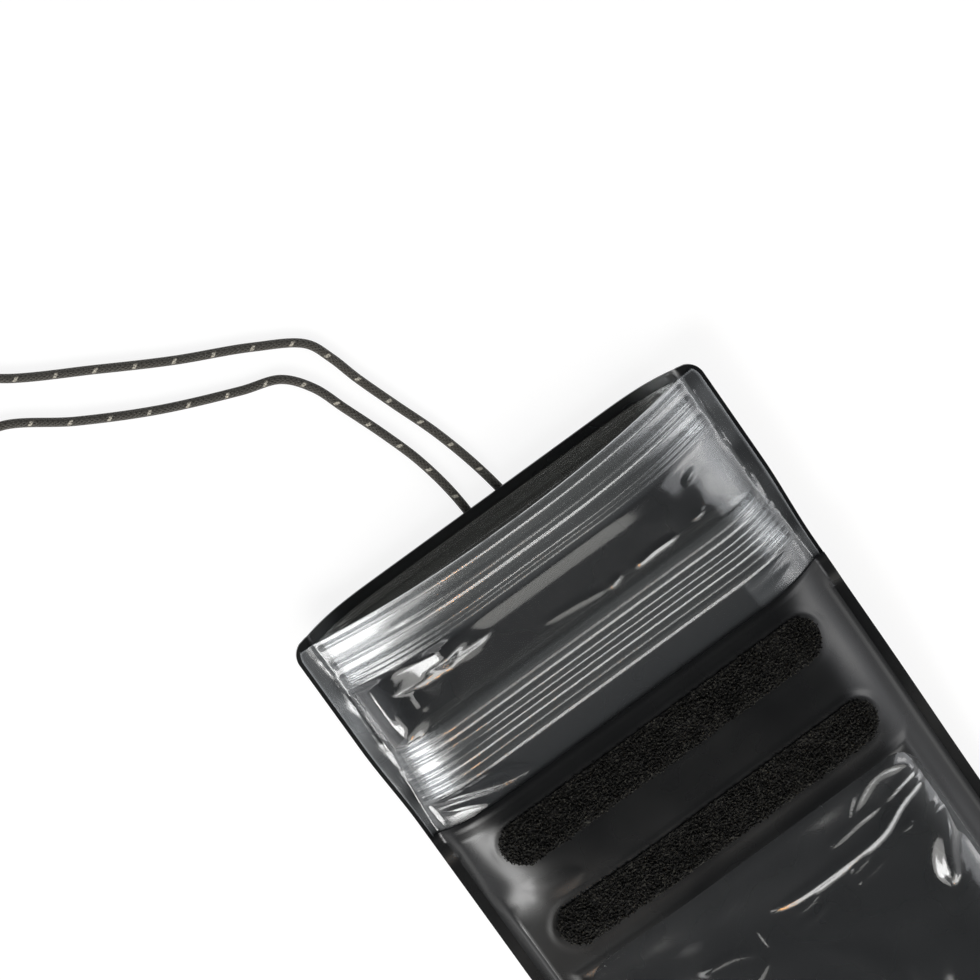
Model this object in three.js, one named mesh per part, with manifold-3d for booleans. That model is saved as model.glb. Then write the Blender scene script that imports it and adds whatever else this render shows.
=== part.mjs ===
// A roll-top waterproof pouch for a phone, lying on its back with its mouth open, and its neck lanyard.
// Millimetres, +Z up, mouth towards +Y. The origin is on the surface under the middle of the pouch.
import * as THREE from "three";
import { mergeVertices } from "three/addons/utils/BufferGeometryUtils.js";
import Module from "manifold-3d";

const wasm = await Module();
wasm.setup();

// Films and welds
const pouchLength = 220; // from the back edge of the mouth to the bottom edge
const bodyWidth = 104.8; // the black body
const topFlare = 0.8; // the clear roll-top section is this much wider on each side
const topWidth = bodyWidth + 2 * topFlare;
const narrowing = { start: 28, end: 50 }; // where the width changes, from the mouth
const mouthCornerRadius = 4.4;
const bottomCornerRadius = 9;
const film = 0.5;
const weldGap = 0.3; // between layers that lie on each other
const topWeldWidth = 4.8;
const bodyWeldWidth = 2.4;
const bottomWeldWidth = 5;
const narrowestWeld = 0.3; // at the side edges, in the rounded corners

// Stations along the pouch, from the back edge of the mouth
const frontLip = 2; // the front wall's edge lies this much below the back one
const upperZip = { start: frontLip + 0.3, width: 12.6 };
const lowerZip = { start: 32.4, width: 14 };
const seam = 53.3; // where the clear film meets the black one
const seamLap = 3;
const stripWidth = 10.5; // of the hook and the loop strips
const seamToLoop = 10.7; // from the seam to the middle of the upper loop strip
const loopSpacing = 23.6; // between the middles of the two loop strips
const loopToWindow = 5.65; // from the lower loop strip's edge to the window
const upperLoopCentre = seam + seamToLoop;
const lowerLoopCentre = upperLoopCentre + loopSpacing;
const windowStart = lowerLoopCentre + stripWidth / 2 + loopToWindow;
const windowSideMargin = 8.9; // from the window to the body's side edges
const windowWidth = bodyWidth - 2 * windowSideMargin;
const windowCornerRadius = 7;
const windowBottomMargin = 16; // from the window's lower edge to the pouch's bottom edge
const windowLap = 3.5; // how far the clear pane runs under the black film
const closingLength = 35; // over which both walls come together at the bottom

// How far the walls stand off the weld line
const mouthRise = 10.5;
const upperZipRise = 9.2;
const lowerZipRise = 5.2;
const bodyRise = 6.6;
const backDrop = 4.5;
const bottomDroop = 0.7; // share of the drop that the bottom weld hangs down
const flatShare = 0.6; // share of the width over which a wall is flat
const puckerHeight = 0.7; // of the clear film between the zips
const paneWave = 0.6; // how far the window's pane rises and falls
const paneSag = 0.2; // and how much lower its middle lies than its edge

// Zips, strips and the lanyard's band
const zipBase = 0.4;
const ribHeight = 1.1;
const ribWidth = 0.9;
const stripMargin = 10.65; // from a strip's end to the body's side edge
const stripLength = bodyWidth - 2 * stripMargin;
const loopStrip = { length: stripLength, width: stripWidth, height: 1.8 };
const hookStrip = { length: stripLength, width: stripWidth, height: 1.2 };
const band = { width: 7, length: 24, thickness: 0.8, floorLength: 7, tabLength: 5 };
const bandStation = 61;
const cordDiameter = 2;
const coil = { outerRadius: 15.5, innerRadius: 6.3, height: 4.1, x: -93.4, y: 202.7 };

const { smoothstep, lerp } = THREE.MathUtils;

// The top is folded forward between the zips and again above the seam, which lays the hooks on the loops.
const firstFold = (upperZip.start + upperZip.width + lowerZip.start) / 2;
const secondFold = (lowerZip.start + lowerZip.width + seam) / 2;
const hookCentre = upperLoopCentre - 2 * (secondFold - firstFold);

// The cord runs under the pouch, so its back is held off the surface down to the band.
const underHooks = cordDiameter + hookStrip.height + 2 * weldGap;
const underBand = cordDiameter + band.thickness + 3 * weldGap;
const lift = Math.max(underHooks, underBand);
const liftEnd = bandStation + band.length / 2 + 2;
const liftFade = 45; // over which the back comes down to the surface
const closingStart = pouchLength - closingLength;

// Width of the outline and of the space inside the welds, halved, at a station.
function halfWidth(s) {
  let half = lerp(topWidth, bodyWidth, smoothstep(s, narrowing.start, narrowing.end)) / 2;
  const mouth = mouthCornerRadius - s;
  if (mouth > 0) half -= mouthCornerRadius - Math.sqrt(mouthCornerRadius ** 2 - mouth ** 2);
  const bottom = s - (pouchLength - bottomCornerRadius);
  if (bottom > 0) half -= bottomCornerRadius - Math.sqrt(Math.max(0, bottomCornerRadius ** 2 - bottom ** 2));
  return half;
}

function innerHalf(s) {
  const weld = lerp(topWeldWidth, bodyWeldWidth, smoothstep(s, narrowing.start, seam));
  const half = lerp(topWidth, bodyWidth, smoothstep(s, narrowing.start, narrowing.end)) / 2 - weld;
  return Math.min(half, halfWidth(s) - narrowestWeld);
}

// 1 in the middle of the width, falling to 0 at the side welds.
function across(x, s, flat, power) {
  const t = (Math.abs(x) / innerHalf(s) - flat) / (1 - flat);
  return t <= 0 ? 1 : Math.max(0, 1 - t ** power);
}

// 1 along the pouch, falling to 0 at the bottom weld.
function along(s) {
  const t = (s - closingStart) / (pouchLength - bottomWeldWidth - closingStart);
  return t <= 0 ? 1 : Math.max(0, 1 - t ** 2.5);
}

const liftAt = (s) => lift * (1 - smoothstep(s, liftEnd, liftEnd + liftFade));
const weldHeight = (s) => liftAt(s) + backDrop * (1 - bottomDroop * (1 - along(s)));
const backUnder = (x, s) => weldHeight(s) - backDrop * across(x, s, flatShare, 3) * along(s);
const backOver = (x, s) => backUnder(x, s) + film;

const riseStations = [
  [0, mouthRise],
  [upperZip.start + upperZip.width, upperZipRise],
  [lowerZip.start, lowerZipRise],
  [lowerZip.start + lowerZip.width, lowerZipRise],
  [upperLoopCentre - loopStrip.width / 2 - 1, bodyRise],
];

function frontRise(s) {
  let height = riseStations[0][1];
  for (let i = 1; i < riseStations.length; i++) {
    const [from, low] = riseStations[i - 1];
    const [to, high] = riseStations[i];
    if (s >= from) height = lerp(low, high, smoothstep(s, from, to));
  }
  return height;
}

// Soft puckers in the clear film between the zips, stronger towards the sides.
function pucker(x, s) {
  const from = upperZip.start + upperZip.width;
  const middle = smoothstep(s, from, from + 4) * (1 - smoothstep(s, lowerZip.start - 4, lowerZip.start));
  const u = Math.abs(x) / innerHalf(s);
  const sides = smoothstep(u, 0.4, 0.8) * (1 - smoothstep(u, 0.88, 0.97));
  return puckerHeight * middle * sides * Math.sin(2 * Math.PI * (x / 13 + s / 19));
}

// The front wall's innermost layer: a parabola at the mouth, a box-like section in the body.
function frontUnder(x, s) {
  const blend = smoothstep(s, 0, lowerZip.start);
  const shape = across(x, s, flatShare * blend, lerp(2.2, 3, blend));
  return weldHeight(s) + film + weldGap + frontRise(s) * shape * along(s) + pucker(x, s);
}

// The black film laps over the clear ones, and lies on the back wall at its welds.
function blackUnder(x, s) {
  const lapped = 1 - smoothstep(s, seam + seamLap + 1, seam + seamLap + 6);
  const raised = Math.min(1, (frontRise(s) * across(x, s, flatShare, 3) * along(s)) / 1.5);
  return frontUnder(x, s) + (film + weldGap) * Math.max(lapped, raised);
}

function steps(low, high, count) {
  return Array.from({ length: count + 1 }, (_, i) => lerp(low, high, i / count));
}

// Stations in equal steps, with more of them in the pouch's rounded corners.
function rowsBetween(from, to, count) {
  const rows = steps(from, to, count);
  for (let i = 1; i < 6; i++) {
    const turn = 1 - Math.cos((i / 6) * (Math.PI / 2));
    rows.push(mouthCornerRadius * turn, pouchLength - bottomCornerRadius * turn);
  }
  const inside = rows.filter((s) => s >= from && s <= to).sort((a, b) => a - b);
  return inside.filter((s, i) => i === 0 || i === inside.length - 1 || s - inside[i - 1] > 0.05);
}

// Columns run from weld to weld: beyond 1 they are in the side weld.
function sideColumns(flatCount, slopeCount) {
  const half = [
    ...steps(0, flatShare, flatCount).slice(1),
    ...steps(flatShare, 1, slopeCount).slice(1),
    2,
  ];
  return [...half.map((c) => -c).reverse(), 0, ...half];
}

function columnX(c, s) {
  const inner = innerHalf(s);
  const size = Math.abs(c);
  return Math.sign(c) * (size <= 1 ? inner * size : lerp(inner, halfWidth(s), size - 1));
}

// A closed sheet between two surfaces: a box whose grid is laid over rows and columns.
function sheet(rows, columns, placeX, under, over) {
  const box = new THREE.BoxGeometry(1, 1, 1, columns.length - 1, rows.length - 1, 1);
  const at = box.attributes.position;
  for (let i = 0; i < at.count; i++) {
    const s = rows[Math.round((0.5 - at.getY(i)) * (rows.length - 1))];
    const x = placeX(columns[Math.round((at.getX(i) + 0.5) * (columns.length - 1))], s);
    at.setXYZ(i, x, pouchLength / 2 - s, (at.getZ(i) > 0 ? over : under)(x, s));
  }
  return box;
}

function toSolid(geometry) {
  const bare = geometry.clone();
  bare.deleteAttribute("normal");
  bare.deleteAttribute("uv");
  const merged = mergeVertices(bare, 1e-4);
  return new wasm.Manifold(
    new wasm.Mesh({
      numProp: 3,
      vertProperties: merged.attributes.position.array,
      triVerts: new Uint32Array(merged.index.array),
    }),
  );
}

function toGeometry(solid) {
  const mesh = solid.getMesh();
  const geometry = new THREE.BufferGeometry();
  geometry.setAttribute("position", new THREE.BufferAttribute(mesh.vertProperties, 3));
  geometry.setIndex(new THREE.BufferAttribute(mesh.triVerts, 1));
  return geometry;
}

// Materials
function finish(colour, roughness, options = {}) {
  return new THREE.MeshStandardMaterial({ color: colour, roughness, metalness: 0, ...options });
}

const blackFilm = finish("#1b1d1d", 0.38);
const clearFilm = finish("#dfe4e6", 0.08, { transparent: true, opacity: 0.3 });
const clearProfile = finish("#d5dade", 0.12, { transparent: true, opacity: 0.45 });
const loopPile = finish("#121313", 0.95);
const hookTape = finish("#161717", 0.7);
const blackWebbing = finish("#1a1b1b", 0.8);
const braidedCord = finish("#3b3c38", 0.85);

const pouch = new THREE.Group();

function addPiece(name, geometry, material) {
  const piece = new THREE.Mesh(geometry, material);
  piece.name = name;
  pouch.add(piece);
  return piece;
}

// Back wall, one black film from the mouth to the bottom weld
addPiece(
  "back_wall",
  sheet(rowsBetween(0, pouchLength, 32), sideColumns(1, 6), columnX, backUnder, backOver),
  blackFilm,
);

// Clear front of the roll-top section
const clearEnd = seam + seamLap;
const clearInset = 0.9; // its side edges lie inside the back wall's
addPiece(
  "clear_top_panel",
  sheet(
    rowsBetween(frontLip, clearEnd, 18),
    sideColumns(5, 6),
    (c, s) => columnX(c, s) - Math.sign(c) * Math.max(0, Math.abs(c) - 1) * clearInset,
    frontUnder,
    (x, s) => frontUnder(x, s) + film,
  ),
  clearFilm,
);

// Clear pane behind the window, puckered where it is free
const windowEnd = pouchLength - windowBottomMargin;

function paneUnder(x, s) {
  const fromEdge = Math.min(windowWidth / 2 - Math.abs(x), s - windowStart, windowEnd - s);
  const waves = Math.sin(2 * Math.PI * (s / 26 + x / 70)) * Math.sin(2 * Math.PI * (x / 31 - s / 55));
  return frontUnder(x, s) + smoothstep(fromEdge, 1, 9) * (paneWave * waves - paneSag);
}

addPiece(
  "window_pane",
  sheet(
    steps(windowStart - windowLap, windowEnd + windowLap, 22),
    steps(-1, 1, 20),
    (c) => c * (windowWidth / 2 + windowLap),
    paneUnder,
    (x, s) => paneUnder(x, s) + film,
  ),
  clearFilm,
);

// Black front of the body, cut out over the pane
const windowOutline = new THREE.Shape();
const cornerX = windowWidth / 2 - windowCornerRadius;
const windowMiddle = pouchLength / 2 - (windowStart + windowEnd) / 2;
const cornerY = (windowEnd - windowStart) / 2 - windowCornerRadius;
[[1, -1], [1, 1], [-1, 1], [-1, -1]].forEach(([sideX, sideY], quarter) => {
  const from = ((quarter - 1) * Math.PI) / 2;
  const [x, y] = [sideX * cornerX, windowMiddle + sideY * cornerY];
  windowOutline.absarc(x, y, windowCornerRadius, from, from + Math.PI / 2);
});
const windowCut = new THREE.ExtrudeGeometry(windowOutline, {
  depth: 4 * (lift + backDrop + bodyRise),
  bevelEnabled: false,
  curveSegments: 8,
});
const blackSheet = sheet(
  rowsBetween(seam, pouchLength, 30),
  sideColumns(2, 7),
  columnX,
  blackUnder,
  (x, s) => blackUnder(x, s) + film,
);
addPiece("black_front_panel", toGeometry(toSolid(blackSheet).subtract(toSolid(windowCut))), blackFilm);

// Press-to-close zips: a ribbed strip on each wall, its ribs pressed flat towards the side welds
const ribShares = { upper: [0.05, 0.36, 0.62, 0.95], lower: [0.12, 0.33, 0.52, 0.72, 0.95] };

function zipProfile(zip, shares) {
  const ramp = 0.12;
  const inner = zip.width - ribWidth - 2 * ramp;
  const points = [[zip.start, 0]];
  for (const share of shares) {
    const start = zip.start + ramp + share * inner;
    points.push([start - ramp / 2, 0], [start + ramp / 2, 1]);
    points.push([start + ribWidth - ramp / 2, 1], [start + ribWidth + ramp / 2, 0]);
  }
  points.push([zip.start + zip.width, 0]);
  return points;
}

function ribAt(points, x, s) {
  const next = points.findIndex(([at]) => at >= s);
  const [to, high] = points[Math.max(1, next)];
  const [from, low] = points[Math.max(1, next) - 1];
  const pressed = 1 - smoothstep(Math.abs(x) / innerHalf(s), 0.78, 0.9);
  return ribHeight * pressed * lerp(low, high, (s - from) / (to - from));
}

const zipReach = 0.962; // share of the inside width that the strips reach

function addZip(name, zip, shares) {
  const points = zipProfile(zip, shares);
  const rows = points.map(([s]) => s);
  const columns = [...steps(-1, -0.6, 5), ...steps(-0.6, 0.6, 9).slice(1, -1), ...steps(0.6, 1, 5)];
  const placeX = (c, s) => c * zipReach * innerHalf(s);
  const frontTop = (x, s) => frontUnder(x, s) - weldGap;
  const backLow = (x, s) => backOver(x, s) + weldGap;
  addPiece(
    name + "_zip_front",
    sheet(rows, columns, placeX, (x, s) => frontTop(x, s) - zipBase - ribAt(points, x, s), frontTop),
    clearProfile,
  );
  addPiece(
    name + "_zip_back",
    sheet(rows, columns, placeX, backLow, (x, s) => backLow(x, s) + zipBase + ribAt(points, x, s)),
    clearProfile,
  );
}

addZip("upper", upperZip, ribShares.upper);
addZip("lower", lowerZip, ribShares.lower);

// Hook and loop strips with round ends, bent over the wall that carries them
function addStrip(name, strip, centre, under, material) {
  const radius = strip.width / 2;
  const turns = steps(-1, 1, 10).map((t) => Math.sin((t * Math.PI) / 2));
  const placeX = (c, s) =>
    c * (strip.length / 2 - radius + Math.sqrt(Math.max(0, radius ** 2 - (s - centre) ** 2)));
  const columns = [...steps(-1, -0.6, 5), ...steps(-0.6, 0.6, 2).slice(1, -1), ...steps(0.6, 1, 5)];
  const rows = turns.map((t) => centre + t * radius);
  addPiece(name, sheet(rows, columns, placeX, under, (x, s) => under(x, s) + strip.height), material);
}

const blackOver = (x, s) => blackUnder(x, s) + film + weldGap;
addStrip("upper_loop_strip", loopStrip, upperLoopCentre, blackOver, loopPile);
addStrip("lower_loop_strip", loopStrip, lowerLoopCentre, blackOver, loopPile);
addStrip(
  "hook_strip",
  hookStrip,
  hookCentre,
  (x, s) => backUnder(x, s) - weldGap - hookStrip.height,
  hookTape,
);

// Band on the back that the lanyard passes through, welded down at both ends
const tabTop = lift - weldGap;
const tabLow = tabTop - band.thickness;
const halfBand = band.length / 2;
const tabEnd = halfBand - band.tabLength;
const floorEnd = band.floorLength / 2;
const outer = [
  [-halfBand, tabLow],
  [-tabEnd, tabLow],
  [-floorEnd, 0],
  [floorEnd, 0],
  [tabEnd, tabLow],
  [halfBand, tabLow],
];
const inner = outer.map(([at, z]) => {
  const inset = Math.abs(at) < halfBand ? band.thickness / 2 : 0;
  return [at - Math.sign(at) * inset, z + band.thickness];
});
const bandCorners = [...outer, ...inner.reverse()].map(([at, z]) => new THREE.Vector2(at, z));
const bandOutline = new THREE.Shape(bandCorners);
const bandSolid = new THREE.ExtrudeGeometry(bandOutline, { depth: band.width, bevelEnabled: false });
bandSolid.translate(0, 0, -band.width / 2);
bandSolid.rotateX(Math.PI / 2).rotateZ(Math.PI / 2); // the outline stands along the pouch, its width across
addPiece("lanyard_band", bandSolid, blackWebbing).position.y = pouchLength / 2 - bandStation;

// Lanyard: both runs lie on the surface from the band to the coil that holds the rest of the cord
const cordClearance = 0.02;
const onSurface = cordDiameter / 2 + cordClearance;
const inBand = band.thickness + weldGap + cordDiameter / 2;
const rightRun = [
  [0.15, 49, inBand],
  [3.6, 49, inBand],
  [6.9, 51.3, 1.7],
  [8.4, 58, onSurface],
  [7.6, 70, onSurface],
  [6.2, 85, onSurface],
  [4.8, 100, onSurface],
  [2.8, 114, onSurface],
  [-0.4, 127, onSurface],
  [-4.4, 138.5, onSurface],
  [-7.6, 148, onSurface],
  [-9.5, 154.8, onSurface],
  [-12.1, 160.6, onSurface],
  [-22, 167.2, onSurface],
  [-36.8, 174.9, onSurface],
  [-50.9, 183.2, onSurface],
  [-68.7, 194.2, onSurface],
  [-74.6, 200.4, onSurface],
  [-77.7, 208.4, onSurface],
];
const leftRun = [
  [-0.15, 49, inBand],
  [-3.6, 49, inBand],
  [-6.9, 51.3, 1.7],
  [-8.4, 58, onSurface],
  [-7.4, 70, onSurface],
  [-6, 84, onSurface],
  [-4.8, 98, onSurface],
  [-4.9, 112, onSurface],
  [-6.8, 124, onSurface],
  [-9.8, 134, onSurface],
  [-13.4, 144, onSurface],
  [-16.2, 151.6, onSurface],
  [-20.8, 157.5, onSurface],
  [-29.1, 160.7, onSurface],
  [-45.5, 168, onSurface],
  [-61, 176.7, onSurface],
  [-74.6, 185.7, 1.1],
  [-82, 186.6, 2],
  [-90.7, 186.1, 3.05],
];
const cordSection = new THREE.Shape();
cordSection.absarc(0, 0, cordDiameter / 2, 0, 2 * Math.PI);

function addRun(name, points) {
  const path = new THREE.CatmullRomCurve3(points.map(([x, y, z]) => new THREE.Vector3(x, y, z)));
  const run = new THREE.ExtrudeGeometry(cordSection, { steps: 39, curveSegments: 8, extrudePath: path });
  addPiece(name, run, braidedCord);
}

addRun("lanyard_right_run", rightRun);
addRun("lanyard_left_run", leftRun);

const bevel = cordDiameter / 2;
const ring = [
  [coil.innerRadius, bevel],
  [coil.innerRadius + bevel, 0],
  [coil.outerRadius - bevel, 0],
  [coil.outerRadius, bevel],
  [coil.outerRadius, coil.height - bevel],
  [coil.outerRadius - bevel, coil.height],
  [coil.innerRadius + bevel, coil.height],
  [coil.innerRadius, coil.height - bevel],
  [coil.innerRadius, bevel],
].map(([r, z]) => new THREE.Vector2(r, z));
const lanyardCoil = addPiece("lanyard_coil", new THREE.LatheGeometry(ring, 36), braidedCord);
lanyardCoil.rotation.x = Math.PI / 2;
lanyardCoil.position.set(coil.x, coil.y, 0);

export default pouch;
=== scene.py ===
import bpy
import numpy as np
from mathutils import Matrix, Vector


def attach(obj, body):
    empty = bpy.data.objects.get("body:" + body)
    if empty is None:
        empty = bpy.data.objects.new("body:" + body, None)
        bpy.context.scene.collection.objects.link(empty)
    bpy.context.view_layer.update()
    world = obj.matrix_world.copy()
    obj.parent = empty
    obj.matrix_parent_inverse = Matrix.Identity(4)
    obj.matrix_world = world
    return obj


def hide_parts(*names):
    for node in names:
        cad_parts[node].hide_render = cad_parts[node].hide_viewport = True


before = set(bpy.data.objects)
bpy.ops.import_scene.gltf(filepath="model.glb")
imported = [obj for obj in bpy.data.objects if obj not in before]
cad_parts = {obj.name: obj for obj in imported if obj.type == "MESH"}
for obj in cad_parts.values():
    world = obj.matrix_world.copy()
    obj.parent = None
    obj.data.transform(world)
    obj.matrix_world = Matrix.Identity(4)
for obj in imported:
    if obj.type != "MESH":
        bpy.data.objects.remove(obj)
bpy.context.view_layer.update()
mm = 0.001
print("frame loaded")


# Helpers: colours from hex, nodes with their settings and links, meshes from arrays

def linear(hexColour, alpha=1.0):
    # sRGB hex to linear: the low end is a straight line, the rest a power of 2.4
    values = np.array([int(hexColour[i:i + 2], 16) for i in (1, 3, 5)]) / 255
    values = np.where(values <= 0.04045, values / 12.92, ((values + 0.055) / 1.055) ** 2.4)
    return (*values.tolist(), alpha)


def addNode(tree, kind, inputs=None, **settings):
    node = tree.nodes.new(kind)
    for key, value in settings.items():
        setattr(node, key, value)
    for socket, value in (inputs or {}).items():
        if isinstance(value, bpy.types.NodeSocket):
            tree.links.new(value, node.inputs[socket])
        else:
            node.inputs[socket].default_value = value
    return node


def calculate(tree, operation, *values, **settings):
    return addNode(tree, "ShaderNodeMath", dict(enumerate(values)), operation=operation, **settings).outputs[0]


def remap(tree, *values):
    # value, its low and high end, and what these two become
    return addNode(tree, "ShaderNodeMapRange", dict(enumerate(values))).outputs[0]


def mixColours(tree, share, first, second, **settings):
    sockets = {0: share, 6: first, 7: second}
    return addNode(tree, "ShaderNodeMix", sockets, data_type="RGBA", **settings).outputs[2]


def mixShaders(tree, *sockets):
    return addNode(tree, "ShaderNodeMixShader", dict(enumerate(sockets))).outputs[0]


def objectPlace(tree):
    return addNode(tree, "ShaderNodeTexCoord").outputs["Object"]


def addNoise(tree, where, scale, detail, roughness=0.5):
    sockets = {"Vector": where, "Scale": scale, "Detail": detail, "Roughness": roughness}
    return addNode(tree, "ShaderNodeTexNoise", sockets).outputs[0]


def addWaves(tree, where, scale, direction):
    sockets = {"Vector": where, "Scale": scale}
    return addNode(tree, "ShaderNodeTexWave", sockets, bands_direction=direction).outputs[1]


def addBump(tree, height, strength, distance):
    sockets = {"Height": height, "Strength": strength, "Distance": distance}
    return addNode(tree, "ShaderNodeBump", sockets).outputs[0]


def finishPrincipled(tree, sockets):
    shader = addNode(tree, "ShaderNodeBsdfPrincipled", sockets)
    addNode(tree, "ShaderNodeOutputMaterial", {0: shader.outputs[0]})


def putIn(thing):
    bpy.context.scene.collection.objects.link(thing)


def newMaterial(name):
    material = bpy.data.materials.new(name)
    material.use_nodes = True
    material.node_tree.nodes.clear()
    return material, material.node_tree


def newPiece(name, vertices, faces, material, smoothAngle=50, uv=None):
    mesh = bpy.data.meshes.new(name)
    mesh.from_pydata(vertices, [], faces)
    mesh.polygons.foreach_set("use_smooth", np.ones(len(mesh.polygons), bool))
    mesh.set_sharp_from_angle(angle=np.radians(smoothAngle))
    if uv is not None:
        corner = np.empty(len(mesh.loops), int)
        mesh.loops.foreach_get("vertex_index", corner)
        layer = mesh.uv_layers.new(name="along")
        layer.data.foreach_set("uv", uv(corner, mesh).ravel())
    mesh.materials.append(material)
    piece = bpy.data.objects.new(name, mesh)
    putIn(piece)
    return piece


def standsFor(piece, slot, *nodes):
    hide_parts(*nodes)


def smoothstep(value, low, high):
    t = np.clip((value - low) / (high - low), 0, 1)
    return t * t * (3 - 2 * t)


def blendTo(low, high, share):
    return low + (high - low) * share


# Camera: 1.8 m away, 20 degrees off the vertical towards the mouth
camera = {
    "distance": 1.8,
    "sensor": 36,  # mm
    "pictureSide": 980,  # pixels
    "pixelsPerMm": 4.7,
    "back": (-0.03575, 0.34015, 0.93969),
    "right": (0.80807, -0.54340, 0.22744),
    "target": (0.001519, 0.112251, 0.008043),
}
back = Vector(camera["back"]).normalized()
right = Vector(camera["right"])
right = (right - back * right.dot(back)).normalized()
up = back.cross(right)
lens = bpy.data.cameras.new("studio_camera")
lens.sensor_width = camera["sensor"]
lens.lens = camera["sensor"] * camera["distance"] * 1000 / (camera["pictureSide"] / camera["pixelsPerMm"])
lens.clip_start = 0.05
lens.clip_end = 20
cameraObject = bpy.data.objects.new("studio_camera", lens)
eye = Vector(camera["target"]) + back * camera["distance"]
cameraObject.matrix_world = Matrix((
    (right.x, up.x, back.x, eye.x),
    (right.y, up.y, back.y, eye.y),
    (right.z, up.z, back.z, eye.z),
    (0, 0, 0, 1),
))
putIn(cameraObject)
bpy.context.scene.camera = cameraObject
bpy.context.scene.view_settings.view_transform = "Standard"
print("camera set")


# Lanyard: one braided polyester cord with retroreflective flecks, looped through the band on the back
lanyard = {
    "diameter": 2.0,  # mm
    "sides": 16,
    "step": 0.7,  # mm between rings
    "strands": 8,  # each way round
    "strandPitch": 9.0,  # mm for one turn of a strand
    "fleckSpacing": 8.5,  # mm between flecks
    "fleckSize": (0.4, 0.6),  # mm, half its width along the cord and half its length round it
    "fleckSlant": 0.5,
    "colour": "#38352e",
    "fleck": "#b8b3a6",
    "coilCentre": (-93.4, 202.7),
    "coilDegrees": (20, 2439),  # where its turns start and end
    "coilPoints": 162,
    "coilRadii": (7.4, 7.0, 2.3),  # innermost, how much wider the coil gets, and how much more at its ends
    "coilTop": 3.05,  # height of the upper layer
}
onSurface, inBand = 1.02, 2.1


def laid(*points):
    # Points of x and y lie on the surface, and a third number is another height
    return [(*point, onSurface)[:3] for point in points]


rightRun = laid(
    (0.15, 49, inBand), (3.6, 49, inBand), (6.9, 51.3, 1.7), (8.4, 58), (7.6, 70), (6.2, 85), (4.8, 100),
    (2.8, 114), (-0.4, 127), (-4.4, 138.5), (-7.6, 148), (-9.5, 154.8), (-12.1, 160.6), (-22, 167.2),
    (-36.8, 174.9), (-50.9, 183.2), (-68.7, 194.2), (-74.6, 200.4), (-77.7, 208.4))
leftRun = laid(
    (-0.15, 49, inBand), (-3.6, 49, inBand), (-6.9, 51.3, 1.7), (-8.4, 58), (-7.4, 70), (-6, 84), (-4.8, 98),
    (-4.9, 112), (-6.8, 124), (-9.8, 134), (-13.4, 144), (-16.2, 151.6), (-20.8, 157.5), (-29.1, 160.7),
    (-45.5, 168), (-61, 176.7), (-74.6, 185.7, 1.1), (-82, 186.6, 2), (-90.7, 186.1, 3.05))


def coilPoints():
    # Inward on the surface and outward on top: the radius falls and rises by one diameter for each turn
    turned = np.radians(np.linspace(*lanyard["coilDegrees"], lanyard["coilPoints"]))[1:-1]
    share = (turned - turned[0]) / (turned[-1] - turned[0])
    fromMiddle = np.abs(2 * share - 1)
    inner, wider, atEnds = lanyard["coilRadii"]
    radius = inner + wider * fromMiddle + atEnds * smoothstep(fromMiddle, 0.94, 1.0)
    height = blendTo(onSurface, lanyard["coilTop"], smoothstep(share, 0.47, 0.53))
    x, y = lanyard["coilCentre"]
    return np.stack([x + radius * np.cos(turned), y + radius * np.sin(turned), height], 1)


def smoothPath(points, step):
    # Centripetal spline through the points, then laid out again in equal steps along its length
    padded = np.vstack([2 * points[0] - points[1], points, 2 * points[-1] - points[-2]])
    p0, p1, p2, p3 = padded[:-3], padded[1:-2], padded[2:-1], padded[3:]
    d0, d1, d2 = (np.sqrt(np.linalg.norm(b - a, axis=1))[:, None] for a, b in ((p0, p1), (p1, p2), (p2, p3)))
    m1 = ((p1 - p0) / d0 - (p2 - p0) / (d0 + d1) + (p2 - p1) / d1) * d1
    m2 = ((p2 - p1) / d1 - (p3 - p1) / (d1 + d2) + (p3 - p2) / d2) * d1
    t = np.linspace(0, 1, 24, endpoint=False)[None, :, None]
    curve = ((2 * t**3 - 3 * t**2 + 1) * p1[:, None] + (t**3 - 2 * t**2 + t) * m1[:, None]
             + (3 * t**2 - 2 * t**3) * p2[:, None] + (t**3 - t**2) * m2[:, None]).reshape(-1, points.shape[1])
    curve = np.vstack([curve, points[-1]])
    length = np.concatenate([[0], np.cumsum(np.linalg.norm(np.diff(curve, axis=0), axis=1))])
    even = np.linspace(0, length[-1], int(length[-1] / step) + 1)
    return np.stack([np.interp(even, length, column) for column in curve.T], 1), even


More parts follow.
